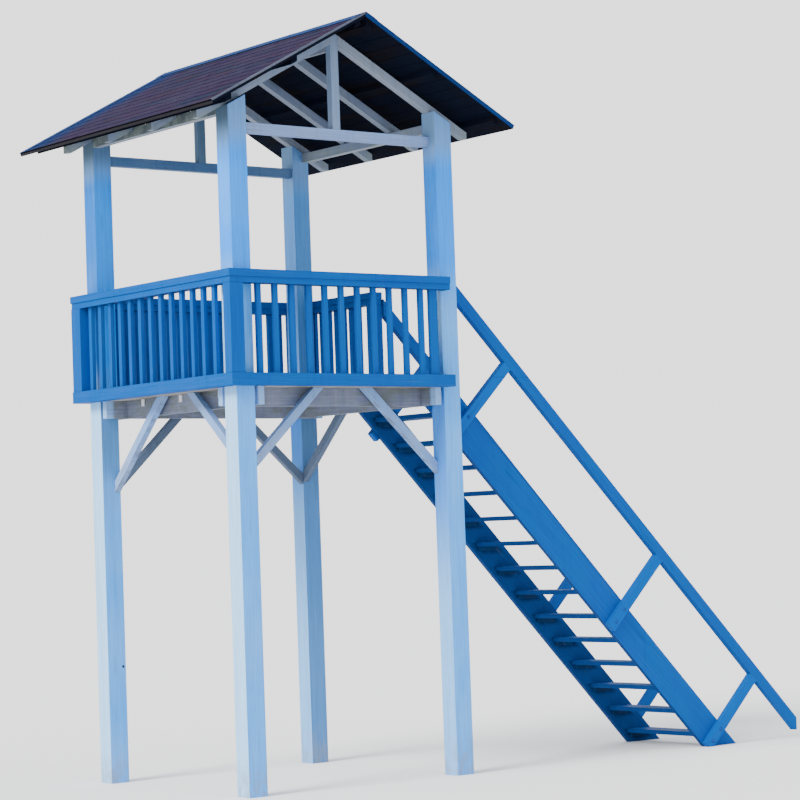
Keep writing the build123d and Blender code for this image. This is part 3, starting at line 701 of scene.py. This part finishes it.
tread_top = FLOOR_TOP - RISE * np.arange(1, TREADS + 1)
edge_over_tread = tread_top - TREAD_THICK / 2 + STRINGER_DEPTH / cos(STAIR_SLOPE) / 2
tread_x = TOWER_FACE + (STRINGER_HEAD - edge_over_tread) / tan(STAIR_SLOPE)
NEAR_NAILS, FAR_NAILS, FROM_MIDDLE = -0.908, -0.07, 0.07
far_y = FAR_NAILS + (tread_x - TOWER_FACE) * tan(SPLAY)
end_y = np.stack((np.full(TREADS, NEAR_NAILS), far_y), axis=1)
spread_x = tread_x[:, None, None] + np.array((-FROM_MIDDLE, FROM_MIDDLE))[None, None, :]
tread_nails = np.broadcast_arrays(spread_x, end_y[:, :, None], tread_top[:, None, None])
tread_nails = np.stack(tread_nails, axis=-1).reshape(-1, 3)
new_piece("tread_nails", heads(tread_nails, (0, 0, 1), NAIL, 8), nail_steel, True)


# ---- Stair handrails -----------------------------------------------------------
# Each rail is one straight timber on three short posts that stand square to the slope. Two
# coach bolts hold every post to the side of its stringer, heads painted over.
SQUARE_TO_STAIR = (0, -STAIR_SLOPE, 0)
RAIL_POST_BLUE, RAIL_POST_FADED = (0.0, 0.0912, 0.395), (0.0, 0.103, 0.395)
dress(blue_timber("handrail_paint", DOWN_STAIR, rail_shade, 0.4),
      "stair_handrail_near", "stair_handrail_far")
dress(blue_timber("handrail_post_paint", SQUARE_TO_STAIR, rail_shade, 0.4, None,
                  RAIL_POST_BLUE, RAIL_POST_FADED),
      "stair_handrail_posts_near", "stair_handrail_posts_far")
BOLT = [(0.019, -0.002), (0.019, 0.0022), (0.0115, 0.0026), (0.0105, 0.0062),
        (0.0065, 0.0086), (0.002, 0.0094)]
STAIR_FOOT = TOWER_FACE + STRINGER_HEAD / tan(STAIR_SLOPE)
RAIL_POST_X = np.array((1.38, STAIR_FOOT - 1.34, STAIR_FOOT - 0.2))
BOLT_DEPTH = np.array((-0.07, -0.215))
FAR_HEAD_Y = 0.038


def post_bolts(shifts, y, outward, splay):
    """Two bolts in each handrail post, at two depths below the stringer's upper edge, square
    to the slope; the far ones are then swung about the head of the far stringer."""
    upper = RAIL_POST_X + shifts
    x = (upper[:, None] + BOLT_DEPTH * sin(STAIR_SLOPE)).ravel()
    z = (stair_edge(upper)[:, None] + BOLT_DEPTH * cos(STAIR_SLOPE)).ravel()
    from_head, beside = x - TOWER_FACE, y - FAR_HEAD_Y
    swung_x = TOWER_FACE + (from_head * cos(splay) - beside * sin(splay))
    swung_y = FAR_HEAD_Y + (from_head * sin(splay) + beside * cos(splay))
    outwards = np.tile((-outward * sin(splay), outward * cos(splay), 0), (len(x), 1))
    return np.column_stack((swung_x, swung_y, z)), outwards


both_sides = (post_bolts(np.zeros(3), -1.035, -1, 0.0),
              post_bolts(np.array((-0.05, 0.055, -0.028)), 0.098, 1, SPLAY))
bolt_places, bolt_outward = (np.vstack(parts) for parts in zip(*both_sides))
bolt_blue = metal("bolt_blue", (0.0, 0.065, 0.304), (0.106, 0.061, 0.046), 0.4)
bolt_rings = heads(bolt_places, bolt_outward, BOLT, 12)
new_piece("handrail_bolts", bolt_rings, bolt_blue, True)


# ---- Roof frame ----------------------------------------------------------------
# Two king-post trusses stand on the posts with two plain rafter pairs between them, all in
# squared timber under one thin coat of paint. Its grey-blue is partly the paint's own colour
# and partly painted shade under the roof; the back truss is a darker copy, painted shade.
ROOF_SLOPE = radians(28.4)
UP_RAFTER = (0, -(pi / 2 - ROOF_SLOPE), 0)
# Grey-blue, partly the paint's own colour and partly painted shade under the roof.
FRAME_PAINT_AND_SHADE, FRAME_FADED_AND_SHADE = (0.182, 0.236, 0.35), (0.236, 0.281, 0.365)
# Lavender is painted shade underneath; the dark at the left eave is the eave's painted shadow.
UNDERSIDE_SHADE_LAVENDER, EAVE_SHADOW_ON_FRAME, TAIL_OLIVE = (0.228, 0.258, 0.319), (0.068, 0.0874, 0.0836), (0.22, 0.27, 0.25)
TIE_BLUE = (0.19, 0.304, 0.593)


def frame_shade(tree, place, colour):
    """Painted shade underneath, in lavender, and the eave's painted shadow on the outer faces at
    the left eave. Olive where the rain reaches the tails."""
    to_right, _, up = facing(tree)
    x, _, height = axes(tree, place)
    # Painted shade underneath, in lavender.
    colour = stain(tree, rising(tree, up, -0.5, -0.9, 0.6), colour, UNDERSIDE_SHADE_LAVENDER)
    # The eave's painted shadow on the outer faces at the left eave.
    outer = times(tree, rising(tree, to_right, -0.3, -0.9, 0.85), rising(tree, x, -1.0, -1.1))
    colour = stain(tree, outer, colour, EAVE_SHADOW_ON_FRAME)
    rained = rising(tree, noise(tree, place, (7, 7, 7), 5), 0.4, 0.6)
    low = times(tree, rising(tree, height, 5.75, 5.5), rained)
    return stain(tree, times(tree, low, 0.6), colour, TAIL_OLIVE)


def tie_shade(tree, place, colour):
    """Bluer paint left in broad patches."""
    patch = rising(tree, noise(tree, place, (3, 3, 3), 3), 0.35, 0.65, 0.7)
    return stain(tree, patch, colour, TIE_BLUE)


trusses = {"tie_beam_front": ("tie_paint", (0.213, 0.304, 0.547), (0.228, 0.319, 0.532)),
           # The back truss takes darker copies of the paint: painted shade.
           "tie_beam_back": ("tie_paint_back_shaded", (0.061, 0.144, 0.304), (0.0836, 0.167, 0.319)),
           "king_post_front": ("king_post_paint", (0.175, 0.258, 0.41), (0.213, 0.289, 0.426)),
           "king_post_back": ("king_post_paint_back_shaded", (0.076, 0.152, 0.251),
                              (0.0988, 0.167, 0.258))}
for timber, (name, paint, faded) in trusses.items():
    turn = ALONG_X if timber.startswith("tie") else (0, 0, 0)
    shade = tie_shade if timber == "tie_beam_front" else None
    dress(painted_timber(name, paint, faded, BARE_WOOD, turn, shade=shade), timber)
plate_paint = painted_timber("plate_paint", FRAME_PAINT_AND_SHADE, FRAME_FADED_AND_SHADE, BARE_WOOD, ALONG_Y,
                             shade=frame_shade)
dress(plate_paint, "wall_plate_left", "wall_plate_right", "ridge_board")
rafter_paint = painted_timber("rafter_paint", FRAME_PAINT_AND_SHADE, FRAME_FADED_AND_SHADE, BARE_WOOD, UP_RAFTER,
                              shade=frame_shade, gable=True)
dress(rafter_paint, "rafters_front", "rafters_middle", "rafters_back")


# ---- Purlins and roof boards ---------------------------------------------------
# Planed boards with chamfered lower edges lie along the roof on three purlins a side, each
# course in three lengths. The whole underside was stained almost black.
STAINED, STAINED_FADED = (0.0027, 0.0042, 0.011), (0.0038, 0.0061, 0.015)
STAINED_WOOD, STAINED_BROWN = (0.0091, 0.0091, 0.012), (0.0091, 0.0061, 0.0053)


def dark_board_shade(tree, place, colour):
    """Tones from board to board, with a little brown where the stain has thinned."""
    patch = rising(tree, noise(tree, place, (6, 1.2, 6), 4), 0.45, 0.7, 0.7)
    return stain(tree, patch, colour, STAINED_BROWN)


stained_wood = painted_timber("stained_boards", STAINED, STAINED_FADED, STAINED_WOOD, ALONG_Y,
                              wear=0.5, rough=0.85, shade=dark_board_shade, gloss=0.03)
dress(stained_wood, "roof_purlins_left", "roof_purlins_right")
ROOF_LOW, ROOF_HIGH = (np.array(corner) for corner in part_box("roof_covering_right"))
SLOPE_LENGTH = ROOF_HIGH[0] / cos(ROOF_SLOPE)
COVERING, BOARD = 0.014, 0.022
ROOF_COURSES, HALF_GAP, CHAMFER = 13, 0.0008, 0.003
AT_RIDGE, AT_EAVE, AT_GABLE = 0.018, SLOPE_LENGTH - 0.0125, 0.002
BOARD_CUTS = np.array((-1.03, -0.3433, 0.3433, 1.03))


def on_roof(side, down, along, up):
    """A place on the roof: so far down the slope from the ridge, so far along Y, and so far
    up, square to the slope, from the top of the boards. side is -1 left, 1 right."""
    crest = ROOF_HIGH[2] - COVERING / cos(ROOF_SLOPE)
    x = side * (down * cos(ROOF_SLOPE) + up * sin(ROOF_SLOPE))
    z = crest - down * sin(ROOF_SLOPE) + up * cos(ROOF_SLOPE)
    return np.stack(np.broadcast_arrays(x, along, z), axis=-1)


def roof_boards(side, seed):
    """Boards as closed solids: a six-cornered section in down and up, carried along Y between
    two ends, for every course and every length."""
    chance = np.random.default_rng(seed)
    courses = ROOF_COURSES
    edges = np.linspace(AT_RIDGE, AT_EAVE, courses + 1)
    top, under = edges[:-1] + HALF_GAP, edges[1:] - HALF_GAP
    section_down = np.stack((top, under, under, under - CHAMFER, top + CHAMFER, top), axis=-1)
    section_up = np.array((0.0, 0.0, -BOARD + CHAMFER, -BOARD, -BOARD, -BOARD + CHAMFER))
    cuts = np.stack([chance.permutation(BOARD_CUTS)[:2] for _ in range(courses)])
    ends = np.column_stack((np.full(courses, ROOF_LOW[1] + AT_GABLE), np.sort(cuts, axis=1),
                            np.full(courses, ROOF_HIGH[1] - AT_GABLE)))
    lengths = np.stack((ends[:, :-1] + HALF_GAP, ends[:, 1:] - HALF_GAP), axis=-1)
    rings = on_roof(side, section_down[:, None, None, :], lengths[..., None], section_up)
    return rings.reshape(courses * 3, 2, 6, 3)


for side, place, seed in ((-1, "left", 3), (1, "right", 4)):
    boards = new_piece(f"roof_boards_{place}", roof_boards(side, seed), stained_wood)
    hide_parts(f"roof_deck_{place}")


# ---- Shingles ------------------------------------------------------------------
# Felt shingles in twelve courses a side, each tab nailed down over the one below and broken
# from course to course. The mineral grains are plum, brown and slate, tab by tab, and have
# washed off in places.
EXPOSED, THICK = 0.143, 0.0042
TAB, SLOT = 0.305, 0.007
SHINGLE_COURSES, TABS_ACROSS, TAB_STATIONS = 12, 13, 7
FIRST_TAB, TAB_SHIFT, SLIVER, LOWEST_TAB = 0.31, 0.008, 0.02, SLOPE_LENGTH - 0.0085
SHINGLES_LOW, SHINGLES_HIGH = ROOF_LOW[1] + 0.003, ROOF_HIGH[1] - 0.003


def shingle_tabs(side, seed):
    """Every tab is a thin wedge: its section, in down and up, has its top THICK lower for each
    exposed length up the slope, so that it lies on the course below; its lower edge is a
    little wavy and its corners lift. Returns the rings and one tone for each tab."""
    chance = np.random.default_rng(seed)
    starts, ends, lower = [], [], []
    low, high = SHINGLES_LOW, SHINGLES_HIGH
    for course in range(SHINGLE_COURSES):
        first = low - FIRST_TAB + (course % 2) * TAB / 2
        cuts = first + TAB * np.arange(TABS_ACROSS) + chance.uniform(-TAB_SHIFT, TAB_SHIFT)
        begin = np.clip(cuts + SLOT / 2, low, high)
        end = np.clip(cuts + TAB - SLOT / 2, low, high)
        kept = end - begin > SLIVER
        starts.append(begin[kept])
        ends.append(end[kept])
        lower.append(np.full(kept.sum(), LOWEST_TAB - course * EXPOSED))
    starts, ends, lower = (np.concatenate(values) for values in (starts, ends, lower))
    size = len(starts), TAB_STATIONS
    along = starts[:, None] + (ends - starts)[:, None] * np.linspace(0, 1, TAB_STATIONS)
    back = np.array((0.0, 0.0, 0.0022, 0.07, EXPOSED, 2 * EXPOSED, 2 * EXPOSED, EXPOSED))
    rise = 3 * THICK - THICK * back / EXPOSED
    rise[[0, 6, 7]] -= THICK
    rise[1] -= 0.0012
    wave = chance.normal(0, 0.0011, size) + chance.normal(0, 0.0015, (size[0], 1))
    lift = np.zeros(size)
    lift[:, [0, -1]] = np.abs(chance.normal(0, 0.0012, (size[0], 2)))
    near = np.array((1, 1, 1, 0.3, 0, 0, 0, 0))
    ridge = 0.003 + 0.0005 * np.arange(8)
    down = np.maximum(lower[:, None, None] - back - np.abs(wave)[..., None] * near, ridge)
    up = rise + (lift + chance.uniform(0, 0.0006, (size[0], 1)))[..., None] * near
    return on_roof(side, down, along[..., None], up), chance.random(size[0])


def with_tone(piece, tones, corners):
    """One tone for each tab, kept on its points for the material."""
    attribute = piece.data.attributes.new("tone", "FLOAT", "POINT")
    attribute.data.foreach_set("value", np.repeat(tones, corners).astype(np.float32))


PLUM, SLATE, BROWN, ROSE = ((0.024, 0.018, 0.047), (0.017, 0.02, 0.044), (0.029, 0.018, 0.036),
                            (0.027, 0.017, 0.044))
BLOTCH, WASHED, RUSTY = (0.032, 0.023, 0.05), (0.038, 0.04, 0.065), (0.046, 0.015, 0.03)
BACK_BLUE, CUT_FELT = (0.006, 0.026, 0.1), (0.0046, 0.0038, 0.0068)


def shingle_felt():
    """Mineral grains over felt: a base tone by tab, blotches, washed patches, bluer towards the
    back edge, and coarse relief. The cut lower edges are darker."""
    material, tree, place = new_finish("shingle_felt", 0.03)
    tone = add(tree, "Attribute", attribute_name="tone").outputs["Fac"]
    colour = SLATE
    for start, end, tint in ((0.25, 0.4, PLUM), (0.6, 0.68, ROSE), (0.82, 0.88, BROWN)):
        colour = stain(tree, rising(tree, tone, start, end), colour, tint)
    blotch = rising(tree, noise(tree, place, (2.6, 1.5, 2.6), 6, 0.65), 0.42, 0.62, 0.8)
    colour = stain(tree, blotch, colour, BLOTCH)
    washed = rising(tree, noise(tree, place, (5, 1.6, 5), 6, 0.7), 0.55, 0.7, 0.7)
    colour = stain(tree, washed, colour, WASHED)
    rusty = rising(tree, noise(tree, place, (7.3, 2.9, 7.3), 4, 0.6), 0.62, 0.72, 0.7)
    colour = stain(tree, rusty, colour, RUSTY)
    back = rising(tree, axes(tree, place)[1], 0.95, 1.45, 0.85)
    colour = stain(tree, back, colour, BACK_BLUE)
    grains = noise(tree, place, (330, 330, 330), 2, 0.5)
    light, dark = (glaze(tree, colour, tint) for tint in ((1.25, 1.22, 1.22), (0.46, 0.47, 0.52)))
    colour = stain(tree, rising(tree, grains, 0.35, 0.65), dark, light)
    at_eave = rising(tree, from_middle(tree, place)[0], 1.52, 1.53)
    cut = times(tree, rising(tree, facing(tree)[2], 0.8, 0.6), at_eave)
    coat(tree, stain(tree, cut, colour, CUT_FELT), (grains, 0.78, 0.95),
         {"Height": grains, "Strength": 0.6, "Distance": 0.0015})
    return material


felt = shingle_felt()
for side, place, seed in ((-1, "left", 11), (1, "right", 12)):
    tab_rings, tones = shingle_tabs(side, seed)
    tabs = new_piece(f"shingles_{place}", tab_rings, felt)
    with_tone(tabs, tones, TAB_STATIONS * 8)
    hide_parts(f"roof_covering_{place}")


# ---- Verge strips, eaves drip and ridge capping --------------------------------
# Thin bent steel closes the edges: blue-painted along the ridge, the back and the right-hand
# edges, and a narrow pale strip on the left half of the front gable. The blue is darker than
# the railing's, partly painted shade. The ridge capping is in three lengths, lapped and screwed.
STEEL = 0.0016
OVER_TABS = COVERING + 0.0008


def folded(side, outline, ends):
    """A strip of steel: the outline in down and up, thickened by STEEL square to itself, with
    mitred corners, and carried along Y from one end to the other."""
    outline = np.asarray(outline, float)
    leg = np.diff(outline, axis=0)
    leg /= np.linalg.norm(leg, axis=1, keepdims=True)
    square = np.column_stack((-leg[:, 1], leg[:, 0]))
    corner = np.vstack((square[:1], square[:-1] + square[1:], square[-1:]))
    along_square = (corner * np.vstack((square, square[-1:]))).sum(axis=1)
    corner /= np.maximum(along_square, 0.2)[:, None]
    section = np.vstack((outline, (outline - corner * STEEL)[::-1]))
    along = np.asarray(ends, float)[:, None]
    return on_roof(side, section[None, :, 0], along, section[None, :, 1])[None]


def verge(side, end, width, drop):
    """A strip over the end of the shingles: flat for its width, then square down the board
    ends. end is -1 at the front gable and 1 at the back."""
    outer = ROOF_LOW[1] if end < 0 else ROOF_HIGH[1]
    thick, inner = outer - end * STEEL, outer - end * width
    across = np.array((inner, outer, outer, thick, thick, inner))
    up = np.array((OVER_TABS, OVER_TABS, -drop, -drop, OVER_TABS - STEEL, OVER_TABS - STEEL))
    down = np.array((0.002, AT_EAVE))[:, None]
    return on_roof(side, down, across[None], up[None])[None]


# A dark blue, partly the paint's own and partly painted shade.
flashing_blue_and_shade = metal("flashing_blue_and_shade", (0.0, 0.027, 0.129), (0.038, 0.027, 0.03), 0.3, 0.6)
flashing_pale = metal("flashing_pale", (0.0836, 0.0988, 0.144), (0.053, 0.038, 0.038), 0.5, 0.6)
drip_dark = metal("drip_dark", (0.0061, 0.0068, 0.012), (0.038, 0.023, 0.023), 0.5)
drip_edge = SLOPE_LENGTH - 0.0095
drip = [(SLOPE_LENGTH - 0.06, 0.0012), (drip_edge, 0.0012), (drip_edge, -BOARD)]
eaves = (SHINGLES_LOW, SHINGLES_HIGH)
strips = {"verge_strip_back_left": (verge(-1, 1, 0.11, BOARD), flashing_blue_and_shade, "blue_paint"),
          "verge_strip_back_right": (verge(1, 1, 0.11, BOARD), flashing_blue_and_shade, "blue_paint"),
          "verge_strip_front_right": (verge(1, -1, 0.05, BOARD), flashing_blue_and_shade, "blue_paint"),
          "verge_strip_front_left": (verge(-1, -1, 0.02, 0.0), flashing_pale, "white_paint"),
          "eaves_drip_right": (folded(1, drip, eaves), flashing_blue_and_shade, "blue_paint"),
          "eaves_drip_left": (folded(-1, drip, eaves), drip_dark, "dark_deck")}
for name, (rings, finish, slot) in strips.items():
    new_piece(name, rings, finish)
CAP_HALF, CROWN_HALF, CROWN = 0.118, 0.01, 0.012
LAP, LAP_RISE = 0.02, 0.0012


def capping(start, end, lap):
    """One length of ridge capping: from the left edge over a rounded crown to the right edge,
    as height over the shingles' plane against distance from the ridge, then back underneath."""
    across = np.concatenate((np.linspace(-CAP_HALF, -0.016, 4),
                             np.linspace(-CROWN_HALF, CROWN_HALF, 5),
                             np.linspace(0.016, CAP_HALF, 4)))
    crest = ROOF_HIGH[2] + 0.0006
    height = crest - np.sqrt(across ** 2 + CROWN ** 2) * tan(ROOF_SLOPE) + 0.0035 + lap
    height += CROWN * tan(ROOF_SLOPE) * 0.4
    height[[0, -1]] -= 0.002
    x = np.concatenate((across, across[::-1]))
    z = np.concatenate((height, height[::-1] - STEEL))
    along = np.array((start, end))[:, None]
    return np.stack(np.broadcast_arrays(x[None], along, z[None]), axis=-1)


thirds = np.linspace(ROOF_LOW[1], ROOF_HIGH[1], 4)
lengths = [capping(thirds[0], thirds[1] + LAP, 0.0),
           capping(thirds[1] - LAP, thirds[2] + LAP, LAP_RISE),
           capping(thirds[2] - LAP, thirds[3], 0.0)]
cap_piece = new_piece("ridge_capping", np.stack(lengths), flashing_blue_and_shade)
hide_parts("ridge_cap")
screw_y = np.linspace(ROOF_LOW[1] + 0.12, ROOF_HIGH[1] - 0.12, 10)
ridge_screws = np.vstack([on_roof(side, 0.112, screw_y, COVERING + 0.0022) for side in (-1, 1)])
slope_out = np.repeat([[side * sin(ROOF_SLOPE), 0, cos(ROOF_SLOPE)] for side in (-1, 1)],
                      len(screw_y), axis=0)
new_piece("ridge_screws", heads(ridge_screws, slope_out, SCREW), screw_blue, True)


# ---- Floor, light and camera ---------------------------------------------------
# A wide pale floor under an even cool sky, with one broad soft lamp like a low sun to the left,
# and the camera at head height in front of the left-hand corner.
WIDE = 160
corners = [(-WIDE, -WIDE, 0), (WIDE, -WIDE, 0), (WIDE, WIDE, 0), (-WIDE, WIDE, 0)]
floor_mesh = bpy.data.meshes.new("studio_floor")
floor_mesh.from_pydata(corners, [], [(0, 1, 2, 3)])
floor = new_object("studio_floor", floor_mesh)
pale = bpy.data.materials.new("studio_floor")
pale.use_nodes = True
pale_shader = pale.node_tree.nodes["Principled BSDF"]
pale_shader.inputs["Base Color"].default_value = (0.92, 0.9, 0.88, 1)
pale_shader.inputs["Roughness"].default_value = 0.9
floor_mesh.materials.append(pale)

FILL_LIGHT, SEEN_LIGHT = 1.45, 2.12
sky = bpy.data.worlds.new("studio_sky")
sky.use_nodes = True
tree = sky.node_tree
fill = tree.nodes["Background"]
fill.inputs[0].default_value = (0.9, 0.95, 1.0, 1)
fill.inputs[1].default_value = FILL_LIGHT
seen = add(tree, "Background", {0: (1, 1, 1, 1), 1: SEEN_LIGHT})
straight = add(tree, "LightPath").outputs["Is Camera Ray"]
mixed = add(tree, "MixShader", {0: straight, 1: fill.outputs[0], 2: seen.outputs[0]})
tree.links.new(mixed.outputs[0], tree.nodes["World Output"].inputs["Surface"])
bpy.context.scene.world = sky

sun_data = bpy.data.lights.new("soft_sun", "SUN")
sun_data.energy = 5.5
sun_data.angle = radians(24)
sun_data.color = (1.0, 0.99, 0.97)
sun = new_object("soft_sun", sun_data)
sun.rotation_euler = Vector((-0.8, -0.13, 0.6)).to_track_quat("Z", "Y").to_euler()

PAN, TILT, ROLL = radians(-37.4063), radians(92.9562), radians(-2.0474)
camera_data = bpy.data.cameras.new("camera")
camera_data.lens = 116.615
camera_data.sensor_width = 36.0
camera_data.clip_end = 400.0
camera = new_object("camera", camera_data)
turn = Matrix.Rotation(PAN, 4, "Z") @ Matrix.Rotation(TILT, 4, "X") @ Matrix.Rotation(ROLL, 4, "Z")
camera.matrix_world = Matrix.Translation((-12.7446, -18.4679, 2.0624)) @ turn
bpy.context.scene.camera = camera
